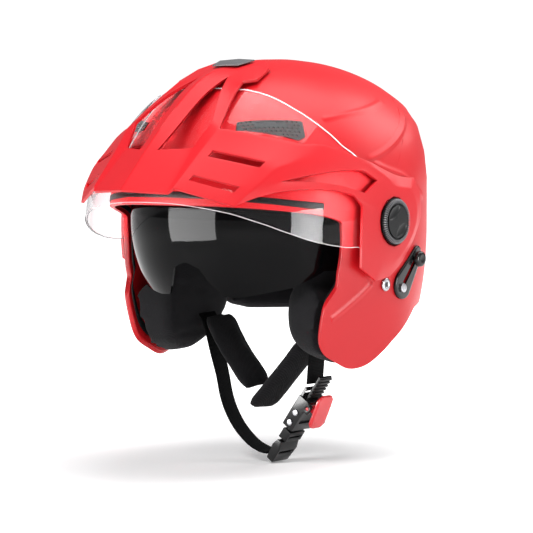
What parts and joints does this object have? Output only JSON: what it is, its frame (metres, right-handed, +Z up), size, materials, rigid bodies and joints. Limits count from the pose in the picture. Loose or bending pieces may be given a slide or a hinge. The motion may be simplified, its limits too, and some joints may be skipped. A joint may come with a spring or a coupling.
{
  "type": "open-face motorcycle helmet",
  "caption": "Open-face motorcycle helmet with a louvred sun peak, flip-up clear visor, drop-down smoke sun shield, padded lining and a quick-release chin strap.",
  "frame": {"origin": "midpoint between the two visor pivots, inside the head cavity", "axes": "+Z up through the crown, -Y out of the face opening, +X toward the wearer's left side"},
  "size_m": [0.2578, 0.3177, 0.3249],
  "materials": {
    "red_paint": "satin red lacquer over a moulded shell",
    "red_plastic": "satin red moulding",
    "foam_core": "dark expanded foam",
    "lining_fabric": "brushed charcoal knit",
    "strap_webbing": "woven black webbing",
    "trim_rubber": "matte",
    "black_plastic": "fine texture",
    "grey_plastic": "satin",
    "clear_visor": "clear polycarbonate",
    "smoke_visor": "dark smoke polycarbonate",
    "steel": "bright",
    "red_tab": "gloss"
  },
  "bodies": {
    "helmet": {"brow_strip": "black_plastic", "buckle_receiver": "black_plastic", "buckle_screw_lower": "steel", "buckle_screw_upper": "steel", "comfort_liner": "lining_fabric", "edge_trim": "trim_rubber", "impact_liner": "foam_core", "left_anchor_plate": "steel", "left_cheek_pad": "lining_fabric", "left_pivot_base": "black_plastic", "left_shield_pivot": "black_plastic", "left_strap_pad": "lining_fabric", "left_strap_rivet": "steel", "left_vent_grille": "black_plastic", "left_webbing": "strap_webbing", "lever_base": "black_plastic", "lever_screw": "steel", "neck_roll": "lining_fabric", "outer_shell": "red_paint", "peak": "red_plastic", "peak_crown_insert": "grey_plastic", "right_anchor_plate": "steel", "right_cheek_pad": "lining_fabric", "right_pivot_base": "black_plastic", "right_shield_pivot": "black_plastic", "right_strap_pad": "lining_fabric", "right_strap_rivet": "steel", "right_vent_grille": "black_plastic", "right_webbing": "strap_webbing"},
    "visor": {"outer_visor": "clear_visor"},
    "shield": {"sun_shield": "smoke_visor"},
    "lever": {"sun_shield_lever": "black_plastic"},
    "dial_left": {"left_dial": "black_plastic"},
    "dial_right": {"right_dial": "black_plastic"},
    "vent_left": {"left_vent_slider": "black_plastic"},
    "vent_right": {"right_vent_slider": "black_plastic"},
    "tab": {"release_tab": "red_tab"},
    "tongue": {"ratchet_tongue": "black_plastic", "strap_adjuster": "black_plastic"}
  },
  "joints": [
    {"name": "visor_hinge", "type": "hinge", "parent": "helmet", "child": "visor", "pos_m": [0, 0, 0], "axis": [1, 0, 0], "range_deg": [0, 42]},
    {"name": "sun_shield_hinge", "type": "hinge", "parent": "helmet", "child": "shield", "pos_m": [0, 0, 0], "axis": [1, 0, 0], "range_deg": [-45, 0]},
    {"name": "sun_shield_lever_slide", "type": "slide", "parent": "helmet", "child": "lever", "axis": [0, 0.7071, 0.7071], "range_m": [-0.0191, 0]},
    {"name": "left_dial_turn", "type": "hinge", "parent": "helmet", "child": "dial_left", "pos_m": [0.127, 0, 0], "axis": [1, 0, 0], "range_deg": [0, 90]},
    {"name": "right_dial_turn", "type": "hinge", "parent": "helmet", "child": "dial_right", "pos_m": [-0.127, 0, 0], "axis": [-1, 0, 0], "range_deg": [0, 90]},
    {"name": "left_vent_slide", "type": "slide", "parent": "helmet", "child": "vent_left", "axis": [0.7727, 0.6347, 0.0118], "range_m": [-0.005, 0.005]},
    {"name": "right_vent_slide", "type": "slide", "parent": "helmet", "child": "vent_right", "axis": [-0.7727, 0.6347, 0.0118], "range_m": [-0.005, 0.005]},
    {"name": "ratchet_tongue_slide", "type": "slide", "parent": "helmet", "child": "tongue", "axis": [-0.578, 0, -0.816], "range_m": [-0.0034, 0]},
    {"name": "release_tab_hinge", "type": "hinge", "parent": "helmet", "child": "tab", "pos_m": [0.05599, -0.008, -0.15001], "axis": [0, 1, 0], "range_deg": [0, 18], "stiffness_Nm_per_rad": 0.03}
  ],
  "couplings": [
    {"joint": "sun_shield_lever_slide", "follows": "sun_shield_hinge", "m_per_rad": 0.02419}
  ]
}
